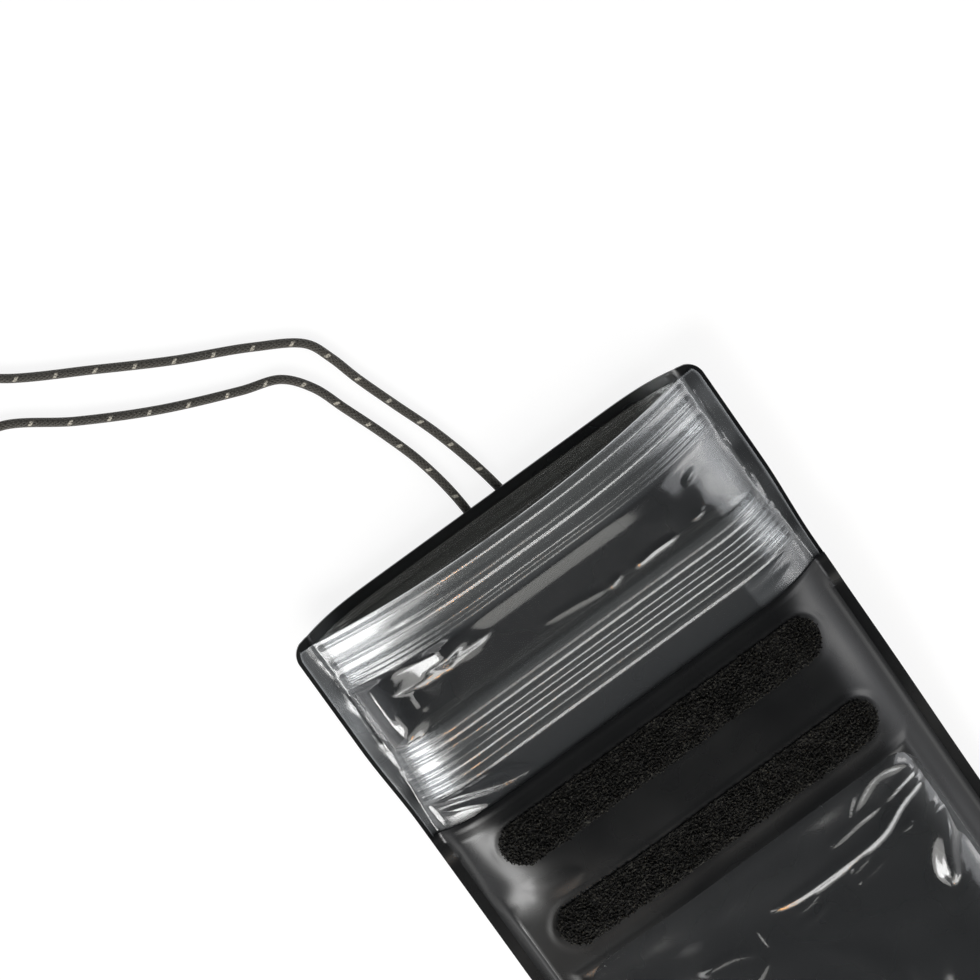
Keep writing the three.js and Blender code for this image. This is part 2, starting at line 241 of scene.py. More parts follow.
def makeBraid():
    # Braided polyester cord, heat set: two families of strands cross over and under each other, which
    # gives the eye a fine herringbone; every so often a strand carries a pale reflective yarn.
    material, tree = newMaterial("braided_polyester_cord")
    uv = addNode(tree, "ShaderNodeUVMap", uv_map="along")
    place = addNode(tree, "ShaderNodeSeparateXYZ", {0: uv.outputs[0]}).outputs
    waves = []
    for way in (1, -1):
        turn = calculate(tree, "MULTIPLY", place[1], way / lanyard["strandPitch"])
        phase = calculate(tree, "ADD", place[0], turn)
        angle = calculate(tree, "MULTIPLY", phase, 2 * np.pi * lanyard["strands"])
        waves.append(calculate(tree, "SINE", angle))
    weaveReliefAndShade = calculate(tree, "MAXIMUM", *waves)
    crossing = calculate(tree, "SUBTRACT", *waves)
    # The tracer yarn comes to the outside once in each spacing, as a short slanted dash on the top
    spacing, girth = lanyard["fleckSpacing"], np.pi * lanyard["diameter"]
    cycle = calculate(tree, "FRACT", calculate(tree, "MULTIPLY", place[1], 1 / spacing))
    fromFleck = calculate(tree, "MULTIPLY_ADD", cycle, spacing, -spacing / 2)
    fromTop = calculate(tree, "MULTIPLY_ADD", place[0], girth, -girth / 4)
    slanted = calculate(tree, "MULTIPLY_ADD", fromTop, -lanyard["fleckSlant"], fromFleck)
    masks = []
    for distance, reach in zip((slanted, fromTop), lanyard["fleckSize"]):
        size = calculate(tree, "ABSOLUTE", distance)
        masks.append(remap(tree, size, reach * 1.15, reach * 0.75, 0.0, 1.0))
    dash = calculate(tree, "MULTIPLY", *masks)
    over = remap(tree, crossing, -1.2, 0.2, 0.55, 1.0)
    fleck = calculate(tree, "MULTIPLY", dash, over)
    # Painted shade and highlight: the yarn colour is scaled from 0.45 in the gaps between strands to 1.25 on
    # their crowns
    paintedStrandShade = remap(tree, weaveReliefAndShade, -1.0, 1.0, 0.45, 1.25)
    yarn = mixColours(tree, paintedStrandShade, linear("#000000"), linear(lanyard["colour"]), clamp_factor=False)
    colour = mixColours(tree, fleck, yarn, linear(lanyard["fleck"]))
    finishPrincipled(tree, {"Base Color": colour, "Roughness": 0.62, "Sheen Weight": 0.15,
                            "Normal": addBump(tree, weaveReliefAndShade, 0.9, 0.00012)})
    return material


def makeCord():
    # A round section carried along the route: centre plus the radius times cosine and sine of the angle
    points = np.vstack([rightRun, coilPoints(), leftRun[::-1]])
    centre, length = smoothPath(points, lanyard["step"])
    tangent = np.gradient(centre, axis=0)
    tangent /= np.linalg.norm(tangent, axis=1)[:, None]
    side = np.cross(tangent, (0, 0, 1.0))
    side /= np.linalg.norm(side, axis=1)[:, None]
    upward = np.cross(side, tangent)
    sides = lanyard["sides"]
    angle = np.linspace(0, 2 * np.pi, sides, endpoint=False)
    offset = np.cos(angle)[None, :, None] * side[:, None] + np.sin(angle)[None, :, None] * upward[:, None]
    rings = centre[:, None] + offset * lanyard["diameter"] / 2
    count = len(centre)
    ids = np.arange(count * sides).reshape(count, sides)
    a, b = ids[:-1], ids[1:]
    quads = np.stack([a, b, np.roll(b, -1, 1), np.roll(a, -1, 1)], 2).reshape(-1, 4)
    caps = [ids[0].tolist(), ids[-1][::-1].tolist()]

    def roundAndAlong(corner, mesh):
        ring, place = np.divmod(corner, sides)
        # The last side of each ring runs on to 1 instead of back to 0
        quadCorners = len(quads) * 4
        wraps = np.zeros(len(corner), bool)
        last = np.ptp(place[:quadCorners].reshape(-1, 4), axis=1) > 1
        wraps[:quadCorners] = np.repeat(last, 4) & (place[:quadCorners] == 0)
        return np.stack([(place + wraps * sides) / sides, length[ring]], 1)

    cord = newPiece("lanyard_cord", (rings.reshape(-1, 3) * mm).tolist(), quads.tolist() + caps,
                    makeBraid(), uv=roundAndAlong)
    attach(cord, "root")
    standsFor(cord, "braided_cord", "lanyard_right_run", "lanyard_left_run", "lanyard_coil")
    print("cord length in mm:", round(float(length[-1]), 1))


makeCord()
print("lanyard made")


# The pouch's form, in millimetres: x across, s from the back edge of the mouth, z up
form = {
    "length": 220.0, "topWidth": 106.4, "bodyWidth": 104.8, "narrowing": (28.0, 50.0),
    "mouthCorner": 4.4, "bottomCorner": 9.0, "film": 0.5, "weldGap": 0.3,
    "topWeld": 4.8, "bodyWeld": 2.4, "bottomWeld": 5.0, "frontLip": 2.0,
    "upperZip": (2.3, 12.6), "lowerZip": (32.4, 14.0), "seam": 53.3, "seamLap": 3.0,
    "upperLoop": 64.0, "lowerLoop": 87.6, "hook": 11.7, "stripLength": 83.5, "stripWidth": 10.5,
    "windowStart": 98.5, "windowEnd": 204.0, "windowWidth": 87.0, "windowCorner": 7.0, "windowLap": 3.5,
    "closing": 35.0, "backDrop": 4.5, "droop": 0.7, "flat": 0.6,
    "lift": 3.8, "liftEnd": 75.0, "liftFade": 45.0,
    "rises": ((0.0, 10.5), (14.9, 9.2), (32.4, 5.2), (46.4, 5.2), (57.75, 6.6)),
    "clearInset": 0.9, "puckerHeight": 0.1, "paneWave": 0.35, "paneSag": 0.05,
    "flankStations": (53.0, 57.0, 66.0, 76.0, 84.0), "flankShift": (0.0, 0.03, 0.005, -0.025, -0.025),
    "calmStart": 0.25, "calmEnd": 0.955, "calmFall": 0.36, "calmStations": (70.0, 83.0),
}


def cornerCut(depth, radius):
    # How far a rounded corner draws in, at a depth into its radius
    inside = np.clip(depth, 0, radius)
    return radius - np.sqrt(radius**2 - inside**2)


def halfWidth(s):
    half = blendTo(form["topWidth"], form["bodyWidth"], smoothstep(s, *form["narrowing"])) / 2
    half = half - cornerCut(form["mouthCorner"] - s, form["mouthCorner"])
    return half - cornerCut(s - form["length"] + form["bottomCorner"], form["bottomCorner"])


def innerHalf(s):
    weld = blendTo(form["topWeld"], form["bodyWeld"], smoothstep(s, form["narrowing"][0], form["seam"]))
    half = blendTo(form["topWidth"], form["bodyWidth"], smoothstep(s, *form["narrowing"])) / 2 - weld
    return np.minimum(half, halfWidth(s) - 0.3)


def acrossShape(x, s, flat, power):
    # 1 in the flat middle, then one less a power of the way to the side weld
    t = (np.abs(x) / innerHalf(s) - flat) / (1 - flat)
    return np.clip(1 - np.clip(t, 0, None) ** power, 0, 1)


def alongShape(s):
    start = form["length"] - form["closing"]
    t = (s - start) / (form["closing"] - form["bottomWeld"])
    return np.clip(1 - np.clip(t, 0, None) ** 2.5, 0, 1)


def weldHeight(s):
    lift = form["lift"] * (1 - smoothstep(s, form["liftEnd"], form["liftEnd"] + form["liftFade"]))
    return lift + form["backDrop"] * (1 - form["droop"] * (1 - alongShape(s)))


def backUnder(x, s):
    return weldHeight(s) - form["backDrop"] * acrossShape(x, s, form["flat"], 3) * alongShape(s)


def frontRise(s):
    height = np.full_like(s, form["rises"][0][1])
    for (start, low), (end, high) in zip(form["rises"], form["rises"][1:]):
        height = np.where(s >= start, blendTo(low, high, smoothstep(s, start, end)), height)
    return height


def pucker(x, s):
    start, end = sum(form["upperZip"]), form["lowerZip"][0]
    middle = smoothstep(s, start, start + 4) * (1 - smoothstep(s, end - 4, end))
    u = np.abs(x) / innerHalf(s)
    sides = smoothstep(u, 0.4, 0.8) * (1 - smoothstep(u, 0.88, 0.97))
    return form["puckerHeight"] * middle * sides * np.sin(2 * np.pi * (x / 13 + s / 19))


def leftFlank(x, s):
    # On the left the bulge's shoulder runs inwards as it goes down, until the front runs out almost flat
    # and turns down sharply at the weld
    u = np.abs(x) / innerHalf(s)
    moved = u - np.interp(s, form["flankStations"], form["flankShift"])
    t = np.clip((moved - form["flat"]) / (1 - form["flat"]), 0, 1)
    gentle = np.clip((u - form["calmStart"]) / (form["calmEnd"] - form["calmStart"]), 0, 1) ** 1.4
    steep = np.clip((u - form["calmEnd"]) / (1 - form["calmEnd"]), 0, 1)
    drop = blendTo(form["calmFall"] * gentle, 1, steep)
    height = blendTo(1 - t**3, 1 - drop, smoothstep(s, *form["calmStations"]))
    change = (height - acrossShape(x, s, form["flat"], 3)) * frontRise(s) * alongShape(s)
    return change * (s > form["flankStations"][0]) * (x < 0) * (1 - smoothstep(u, 0.955, 1))


def frontUnder(x, s):
    share = smoothstep(s, 0, form["lowerZip"][0])
    t = np.clip((np.abs(x) / innerHalf(s) - form["flat"] * share) / (1 - form["flat"] * share), 0, None)
    shape = np.clip(1 - t ** blendTo(2.2, 3, share), 0, 1)
    rise = frontRise(s) * shape * alongShape(s)
    return weldHeight(s) + form["film"] + form["weldGap"] + rise + pucker(x, s) + leftFlank(x, s)


def blackUnder(x, s):
    lapEnd = form["seam"] + form["seamLap"]
    lapped = 1 - smoothstep(s, lapEnd + 1, lapEnd + 6)
    raised = np.minimum(1, frontRise(s) * acrossShape(x, s, form["flat"], 3) * alongShape(s) / 1.5)
    return frontUnder(x, s) + (form["film"] + form["weldGap"]) * np.maximum(lapped, raised)


def creases(x, s, lines):
    # Soft ridges: slope times width times a bell of the distance to each smooth line of points. They taper
    # towards both ends and are narrower on one side.
    total = np.zeros_like(x)
    for points, width, slope, lean in lines:
        path, along = smoothPath(np.array(points, float), 1.0)
        near = np.full_like(x, 1e9)
        side, share = np.zeros_like(x), np.zeros_like(x)
        for (x0, s0), (x1, s1), start in zip(path, path[1:], along):
            dx, ds = x1 - x0, s1 - s0
            t = np.clip(((x - x0) * dx + (s - s0) * ds) / (dx * dx + ds * ds), 0, 1)
            away = np.hypot(x - x0 - t * dx, s - s0 - t * ds)
            closer = away < near
            side = np.where(closer, np.sign((x - x0) * ds - (s - s0) * dx), side)
            share = np.where(closer, (start + t * (along[1] - along[0])) / along[-1], share)
            near = np.minimum(near, away)
        local = width * (1 - 0.75 * (2 * share - 1) ** 4)
        total = total + slope * local * np.exp(-((near / (local * (1 + lean * side))) ** 2))
    return total


def softNoise(x, s, size, seed):
    # Values on a square lattice, blended smoothly between its corners, from -1 to 1
    lattice = np.random.default_rng(seed).uniform(-1, 1, (64, 64))
    u, v = x / size + 31.7, s / size + 5.3
    i, j = np.floor(u).astype(int) % 64, np.floor(v).astype(int) % 64
    fu, fv = u - np.floor(u), v - np.floor(v)
    fu, fv = fu * fu * (3 - 2 * fu), fv * fv * (3 - 2 * fv)
    i1, j1 = (i + 1) % 64, (j + 1) % 64
    low, high = (blendTo(lattice[i, row], lattice[i1, row], fu) for row in (j, j1))
    return blendTo(low, high, fv)


def closedSheet(name, rows, columns, placeX, under, over, material, keep=None, smoothAngle=50, milk=None):
    # Two surfaces over one grid of stations and columns, joined by a wall round every free edge; an optional
    # function says how hazy the film is at each point, painted highlights included as extra haze.
    column, station = np.meshgrid(np.asarray(columns, float), np.asarray(rows, float))
    x = placeX(column, station)
    y = form["length"] / 2 - station
    count = x.size
    vertices = np.vstack([np.stack([x, y, over(x, station)], 2).reshape(-1, 3),
                          np.stack([x, y, under(x, station)], 2).reshape(-1, 3)])
    ids = np.arange(count).reshape(x.shape)
    cells = np.stack([ids[:-1, :-1], ids[1:, :-1], ids[1:, 1:], ids[:-1, 1:]], 2)
    cells = cells.reshape(-1, 4) if keep is None else cells[keep(column, station)]
    starts, ends = cells.ravel(), np.roll(cells, -1, 1).ravel()
    free = ~np.isin(starts * count + ends, ends * count + starts)
    u, v = starts[free], ends[free]
    walls = np.stack([v, u, u + count, v + count], 1)
    faces = np.vstack([cells, cells[:, ::-1] + count, walls])
    used, faces = np.unique(faces, return_inverse=True)
    points = (vertices[used] * mm).tolist()
    piece = newPiece(name, points, faces.reshape(-1, 4).tolist(), material, smoothAngle)
    if milk is not None:
        haze = np.tile(milk(column, x, station).ravel(), 2)[used]
        piece.data.attributes.new("milk", "FLOAT", "POINT").data.foreach_set("value", haze)
    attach(piece, "root")
    return piece


def filmSheet(name, rows, columns, placeX, under, material, **options):
    over = lambda x, s: under(x, s) + form["film"]
    return closedSheet(name, rows, columns, placeX, under, over, material, **options)


def columnX(c, s):
    inner = innerHalf(s)
    size = np.abs(c)
    return np.sign(c) * np.where(size <= 1, inner * size, blendTo(inner, halfWidth(s), size - 1))


def steps(low, high, size):
    return np.linspace(low, high, max(1, int(round((high - low) / size))) + 1)


def joined(*parts):
    return np.unique(np.round(np.concatenate(parts), 5))


def mirrored(half):
    return np.unique(np.concatenate([-half, half]))


# Films
def makeBlackFilm():
    # TPU film, calendered satin and cut: near black, with soft broad highlights and a faint unevenness
    material, tree = newMaterial("satin_calendered_black_film")
    where = objectPlace(tree)
    cloud = addNoise(tree, where, 60.0, 2.0)
    tone = mixColours(tree, cloud, linear("#0e0f10"), linear("#131415"))
    gloss = remap(tree, cloud, 0.3, 0.7, 0.24, 0.31)
    # Grain of the calender roll, 0.1 mm on the real film, drawn at 0.4 mm so that it shows
    grain = addNoise(tree, where, 1 / (0.4 * mm), 1.0)
    finishPrincipled(tree, {"Base Color": tone, "Roughness": gloss, "IOR": 1.5,
                            "Normal": addBump(tree, grain, 0.15, 0.00001)})
    return material


def makeClear(name, tint, haze, hazeColour, roughness, wrinkle, streaks=0.0):
    # Thin clear plastic: what lies behind shows straight through, and the face that is turned to the light
    # mirrors it by the Fresnel law for both of its sides at once; a little haze makes it milky, in fine
    # streaks along the die's pull where it is extruded.
    material, tree = newMaterial(name)
    where = objectPlace(tree)
    bump = addBump(tree, addNoise(tree, where, 1 / (3.5 * mm), 2.0, 0.45), 1.0, wrinkle)
    fresnel = addNode(tree, "ShaderNodeFresnel", {"IOR": 1.5, "Normal": bump}).outputs[0]
    both = calculate(tree, "MULTIPLY", fresnel, 2.0, use_clamp=True)
    behind = addNode(tree, "ShaderNodeNewGeometry").outputs["Backfacing"]
    share = calculate(tree, "MULTIPLY", both, calculate(tree, "SUBTRACT", 1.0, behind))
    through = addNode(tree, "ShaderNodeBsdfTransparent", {0: linear(tint)}).outputs[0]
    milky = addNode(tree, "ShaderNodeBsdfDiffuse", {0: linear(hazeColour)}).outputs[0]
    milk = addNode(tree, "ShaderNodeAttribute", attribute_name="milk").outputs["Fac"]
    pull = {0: where, 1: (15.0, 1 / (0.9 * mm), 15.0)}
    pulled = addNode(tree, "ShaderNodeVectorMath", pull, operation="MULTIPLY").outputs[0]
    streak = addNoise(tree, pulled, 1.0, 2.0)
    base = remap(tree, streak, 0.3, 0.7, haze * (1 - streaks), haze * (1 + streaks))
    # The haze share also takes the per-point attribute, so painted highlights at the lip, the cut edges and
    # the left weld flange show as light haze
    body = mixShaders(tree, calculate(tree, "MULTIPLY_ADD", milk, 0.1, base), through, milky)
    dull = remap(tree, milk, 0.0, 0.5, roughness, roughness + 0.14)
    mirror = addNode(tree, "ShaderNodeBsdfGlossy",
                     {"Color": (1, 1, 1, 1), "Roughness": dull, "Normal": bump}).outputs[0]
    addNode(tree, "ShaderNodeOutputMaterial", {0: mixShaders(tree, share, body, mirror)})
    return material


blackFilm = makeBlackFilm()
clearFilm = makeClear("press_polished_clear_film", "#f2f3f4", 0.014, "#cdd2d6", 0.13, 0.000012)
clearProfile = makeClear("extruded_clear_zip_profile", "#ebecec", 0.04, "#d2d2ca", 0.2, 0.00001, 0.7)

# Back wall, from the mouth to the bottom weld
backWall = {"rowStep": 1.2, "slopeStep": 0.035}


def makeBackWall():
    rows = joined(steps(0, 6, 0.4), steps(6, 210, backWall["rowStep"]), steps(210, 220, 0.5))
    half = joined(steps(0, 0.55, 0.04), steps(0.55, 1, backWall["slopeStep"] / 2), steps(1, 2, 0.25))
    piece = filmSheet("back_wall_film", rows, mirrored(half), columnX, backUnder, blackFilm)
    standsFor(piece, "black_film", "back_wall")


makeBackWall()

# Clear front of the roll-top section: ridges over the zips, folds between them and under the lower one
clearTop = {
    "upperRidges": ((3.6, 0.55, 0.55), (7.0, 0.8, 0.55), (8.5, 0.65, 0.62), (11.8, 0.55, 0.62),
                    (12.9, 0.42, 0.6), (13.9, 0.42, 0.5)),  # station, width and slope
    "lowerRidges": ((33.3, 1.2, 0.62), (35.3, 0.8, 0.55), (37.3, 0.6, 0.66), (38.8, 0.55, 0.68),
                    (40.25, 0.55, 0.68), (41.8, 0.6, 0.66), (43.7, 0.62, 0.6), (45.6, 0.8, 0.64)),
    "pressed": ((6.0, 1.7), (38.7, 1.6)),  # station and reach where the left end is pressed smooth
    "fallStations": (14.9, 15.7, 16.4, 19.2, 19.7, 31.2, 32.0, 32.4),
    "fallSlopes": (0.0, 0.15, 0.34, 0.3, 0.21, 0.21, 0.1, 0.0),  # how steeply it falls between the zips
    "folds": (
        (((-45.4, 13.0), (-45.0, 23), (-44.6, 33.5)), 5.4, 0.5, 0.0),
        (((-44.4, 14.0), (-44.6, 20), (-44.8, 27)), 0.8, 0.5, 0.0),
        (((-28.0, 12.5), (-27.5, 20.2)), 4.4, 0.34, 0.0),
        (((-40.5, 20.0), (-33, 20.2), (-24, 19.8), (-17, 20.4)), 2.2, 0.34, 0.4),
        (((-36.8, 21.5), (-37.2, 24), (-36.8, 27)), 1.1, 0.24, 0.0),
        (((-24.0, 22.0), (-19.5, 22.1)), 0.35, 0.24, 0.0),
        (((-30.5, 31.2), (-21.5, 31.6)), 0.5, 0.36, 0.0),
        (((-6, 26.5), (2, 27.3), (9.5, 28.6)), 0.7, 0.26, 0.0),
        (((9.9, 28.9), (13.6, 27.8)), 0.6, 0.5, 0.0),
        (((17, 28.5), (22, 27.9), (28.4, 28.1)), 0.7, 0.6, 0.0),
        (((32.6, 27.4), (36.2, 26.9)), 0.6, 0.55, 0.0),
        (((35.6, 19.8), (39.6, 18.6)), 0.7, 0.6, 0.0),
        (((-48.5, 46.4), (-38, 48.9), (-32, 50.6), (-25.5, 51.8)), 1.2, 0.8, 0.4),
        (((-40.0, 46.8), (-32, 48.2), (-26.0, 51.0)), 0.7, 0.8, 0.0),
        (((-47.0, 49.6), (-42, 50.6), (-37.0, 52.6)), 0.7, 0.6, 0.0),
        (((34, 48.5), (41, 47.6), (46, 46.9)), 0.9, 0.45, 0.0),
        (((35.5, 51.2), (45, 50.2)), 1.0, 0.35, 0.0),
    ),  # points of x and s, width, slope and lean
    "waviness": 0.1, "weldLine": 48.7,
    "rowSteps": (0.18, 0.5),  # mm over the zips and between them
}


def fallRelief(s):
    # How much the film's fall between the zips, summed from its slopes, differs from the even fall
    stations = np.linspace(clearTop["fallStations"][0], clearTop["fallStations"][-1], 400)
    slopes = np.interp(stations, clearTop["fallStations"], clearTop["fallSlopes"])
    fall = np.concatenate([[0], np.cumsum((slopes[1:] + slopes[:-1]) / 2 * np.diff(stations))])
    even = (frontRise(stations[:1]) - frontRise(stations)).ravel()
    fall *= even[-1] / fall[-1]
    return np.interp(s, stations, even - fall)


def zipZone(s):
    low, high = form["upperZip"], form["lowerZip"]
    upper = smoothstep(s, low[0] - 0.8, low[0]) * (1 - smoothstep(s, sum(low), sum(low) + 1.2))
    lower = smoothstep(s, high[0] - 1.2, high[0]) * (1 - smoothstep(s, sum(high), sum(high) + 0.8))
    return np.maximum(upper, lower)


def clearRelief(x, s):
    u = np.abs(x) / innerHalf(s)
    inside = 1 - smoothstep(u, 0.97, 0.998)
    ridges = np.zeros_like(x)
    for station, width, slope in clearTop["upperRidges"] + clearTop["lowerRidges"]:
        ridges += slope * width * np.exp(-(((s - station) / width) ** 2))
    for station, reach in clearTop["pressed"]:
        ridges *= 1 - 0.85 * np.exp(-(((s - station) / reach) ** 4)) * (1 - smoothstep(x, -37, -26))
    seam = form["seam"]
    free = (1 - zipZone(s)) * (1 - smoothstep(s, seam - 1, seam + 0.3)) * smoothstep(s, 2, 2.6)
    waves = softNoise(x, s, 7.5, 11) * smoothstep(u, 0.15, 0.7) * (1 - 0.7 * smoothstep(x, 15, 35))
    folds = creases(x, s, clearTop["folds"]) + clearTop["waviness"] * waves
    fall = fallRelief(s) * (1 - np.clip(u - 0.3, 0, 1) ** 2)
    # The side weld's inner line swells and wanders where the hot film was squeezed out, and the weld is wavy
    line = clearTop["weldLine"] + 0.3 * softNoise(x * 0, s, 4, 33)
    bead = 0.22 * np.exp(-(((np.abs(x) - line) / 0.45) ** 2)) * (1 + 0.8 * softNoise(x * 0, s, 1.3, 35))
    flange = 0.3 * softNoise(x, s, 4, 29) * smoothstep(np.abs(x) - line, 0.4, 1.6)
    welds = (bead + flange) * (1 - smoothstep(s, seam - 2, seam))
    return ridges * inside + (folds * free + fall) * inside + welds


def clearHazeAndPaintedHighlight(c, x, s):
    # Hazier in the side welds, where heat has dulled it, and partly painted reflection standing for the light
    # the flanges reflect; whitish at the cut edges and along the front lip, which are painted highlights made
    # as haze
    weld = smoothstep(np.abs(x), clearTop["weldLine"] - 0.2, clearTop["weldLine"] + 0.4)
    # Painted highlight made as haze: a soft light patch on the left weld flange
    paintedFlangeHighlight = 1.3 * np.exp(-(((x + 50.8) / 1.8) ** 2) - (((s - 21) / 8) ** 2))
    cloud = 0.35 + 0.4 * softNoise(x, s, 5, 51) + paintedFlangeHighlight
    # Painted highlights made as haze: the whitish cut edges and the band along the front lip
    edge = smoothstep(np.abs(c), 1.86, 2.0)
    lip = 1 - smoothstep(s, form["frontLip"], form["frontLip"] + 0.35)
    low = smoothstep(s, 46.4, 47.4) * (0.22 + 0.35 * smoothstep(x - 0.1 * s, 28.5, 29.7))
    patch = 0.5 * smoothstep(x - 0.1 * s, 35.0, 36.2) * smoothstep(s, 16, 17) * (1 - smoothstep(s, 31, 32))
    zone = zipZone(s)
    zipEnds = 0.6 * smoothstep(np.abs(x), 45.6, 46.6) * zone
    return weld * cloud + 2.0 * edge + 1.5 * lip + (low + patch + zipEnds + 0.25 * zone) * (1 - weld)


def makeClearTop():
    fine, coarse = clearTop["rowSteps"]
    upperEnd, lowerStart = sum(form["upperZip"]) + 0.2, form["lowerZip"][0] - 0.2
    lowerEnd, end = sum(form["lowerZip"]) + 0.8, form["seam"] + form["seamLap"]
    rows = joined(steps(form["frontLip"], upperEnd, fine), steps(upperEnd, lowerStart, coarse),
                  steps(lowerStart, lowerEnd, fine), steps(lowerEnd, end, coarse))
    half = joined(np.linspace(0, 0.95, 84), np.linspace(0.95, 1, 8), np.linspace(1, 2, 12))
    piece = filmSheet(
        "clear_top_film", rows, mirrored(half),
        lambda c, s: columnX(c, s) - np.sign(c) * np.clip(np.abs(c) - 1, 0, None) * form["clearInset"],
        lambda x, s: frontUnder(x, s) + clearRelief(x, s), clearFilm, milk=clearHazeAndPaintedHighlight)
    standsFor(piece, "clear_film", "clear_top_panel")


makeClearTop()

# Clear window pane, creased where it is free
pane = {
    "folds": (
        (((-1.5, 113.0), (8, 113.9), (20, 113.6), (28, 112.6), (35, 109.8), (43.4, 108.2)), 1.35, 0.62, 0.0),
        (((16.5, 108.8), (26, 107.4), (31, 107.6)), 1.0, 0.56, 0.0),
        (((32, 107.6), (37, 106.2), (43.0, 105.2)), 1.0, 0.56, 0.0),
        (((43.2, 118.0), (40, 122), (36.5, 127), (34.5, 133)), 2.4, 0.7, 0.0),
        (((24, 106.2), (29.5, 102.0), (34, 100.4), (39, 102.0), (42.4, 105.6)), 1.2, 0.36, 0.0),
        (((-22, 115.0), (-14, 116.2), (-9.5, 119.0)), 0.9, 0.44, 0.0),
        (((-6.2, 114.0), (-5.9, 120.0)), 0.6, 0.5, 0.0),
        (((-8, 121.5), (-15, 125.0)), 0.8, 0.5, 0.0),
        (((2, 117.0), (9, 116.2)), 0.8, 0.36, 0.0),
        (((2, 120.4), (10, 119.4)), 0.8, 0.36, 0.0),
        (((17, 117.0), (23, 115.6)), 0.8, 0.36, 0.0),
        (((17, 120.0), (25, 118.4)), 0.8, 0.36, 0.0),
        (((31.5, 115.6), (35, 115.2)), 0.7, 0.5, 0.0),
        (((39.5, 117.0), (41.5, 115.4), (42.8, 116.4)), 0.6, 0.5, 0.0),
        (((-34, 128), (-20, 136), (-13, 150), (-16, 172)), 4.2, 0.15, 0.3),
        (((4, 128), (13, 142), (11, 164)), 4.4, 0.13, -0.3),
        (((30, 140), (22, 156), (27, 182)), 4.0, 0.15, 0.3),
        (((-39, 146), (-31, 162), (-35, 186)), 3.4, 0.16, 0.0),
        (((-12, 174), (2, 182), (18, 186), (38, 194)), 3.6, 0.16, 0.0),
    ),  # points of x and s, width, slope and lean
    "waviness": 0.2, "topDip": 0.05, "raised": 0.25, "step": 0.62,
}


def fromWindowEdge(x, s):
    # How far a point lies inside the window's outline
    ends = np.minimum(s - form["windowStart"], form["windowEnd"] - s)
    return np.minimum(form["windowWidth"] / 2 - np.abs(x), ends)


def paneUnder(x, s):
    waves = np.sin(2 * np.pi * (s / 26 + x / 70)) * np.sin(2 * np.pi * (x / 31 - s / 55))
    free = smoothstep(fromWindowEdge(x, s), 1, 9)
    return frontUnder(x, s) + free * (form["paneWave"] * waves - form["paneSag"])


def paneRelief(x, s):
    free = smoothstep(fromWindowEdge(x, s), -0.3, 2.5)
    below = s - form["windowStart"]
    fromTop = smoothstep(below, 0.5, 6.5) * (1 - smoothstep(below, 8, 40))
    folds = creases(x, s, pane["folds"]) + pane["waviness"] * softNoise(x, s, 14, 5)
    return free * (folds - pane["topDip"] * fromTop) + pane["raised"] * free


def makePane():
    half, lap = form["windowWidth"] / 2 + form["windowLap"], form["windowLap"]
    piece = filmSheet(
        "window_film", steps(form["windowStart"] - lap, form["windowEnd"] + lap, pane["step"]),
        steps(-half, half, pane["step"]), lambda c, s: c,
        lambda x, s: paneUnder(x, s) + paneRelief(x, s), clearFilm)
    standsFor(piece, "clear_film", "window_pane")


makePane()

# Black front of the body, with its window
blackFront = {
    "weldRidge": 0.16, "ridgeOffset": 1.1, "ridgeWidth": 0.6, "windowColumn": 0.73, "waviness": 0.12,
    "seamBead": 0.2, "windowLip": 0.3,
    "rowSteps": (0.52, 1.6, 0.9),  # mm above the window, beside it and below it
    "folds": ((((-42, 73.5), (-37, 76.5), (-30, 77.5)), 2.6, 0.1, 0.0),),  # as the pane's
}


def windowHalf(s):
    # Half the window's width at a station: full at its sides, drawn in along its rounded corners
    radius = form["windowCorner"]
    depth = np.minimum(s - form["windowStart"], form["windowEnd"] - s)
    return form["windowWidth"] / 2 - radius + np.sqrt(radius**2 - (radius - np.clip(depth, 0, radius)) ** 2)


def blackX(c, s):
    size, edge = np.abs(c), blackFront["windowColumn"]
    window, inner = windowHalf(s), innerHalf(s)
    inward = window * size / edge
    beside = blendTo(window, inner, (size - edge) / (1 - edge))
    outside = np.where(size <= 1, beside, blendTo(inner, halfWidth(s), size - 1))
    return np.sign(c) * np.where(size <= edge, inward, outside)


def stripDistance(x, s, centre):
    # Distance from a strip's outline, which is a line with round ends
    reach = form["stripLength"] / 2 - form["stripWidth"] / 2
    return np.hypot(np.clip(np.abs(x) - reach, 0, None), s - centre) - form["stripWidth"] / 2


def blackRelief(x, s):
    seam, ridge = form["seam"], 0
    for centre in (form["upperLoop"], form["lowerLoop"]):
        away = (stripDistance(x, s, centre) - blackFront["ridgeOffset"]) / blackFront["ridgeWidth"]
        ridge = ridge + np.exp(-(away**2)) * (1 - 0.85 * smoothstep(s, centre - 3, centre + 3))
    u = np.abs(x) / innerHalf(s)
    inside = 1 - smoothstep(u, 0.93, 1)
    soft = softNoise(x, s, 16, 21) * (1 - smoothstep(u, 0.8, 1)) * smoothstep(s, seam + 2, seam + 9)
    seamBead = blackFront["seamBead"] * np.exp(-(((s - seam - 0.8) / 0.35) ** 2))
    # The film draws up into a lip round the window
    lip = blackFront["windowLip"] * np.exp(-((fromWindowEdge(x, s) / 1.2) ** 2))
    onStrips = np.minimum(stripDistance(x, s, form["upperLoop"]), stripDistance(x, s, form["lowerLoop"]))
    free = blackFront["waviness"] * soft + lip + creases(x, s, blackFront["folds"]) * inside
    return blackFront["weldRidge"] * ridge + free * smoothstep(onStrips, 0, 3) + seamBead


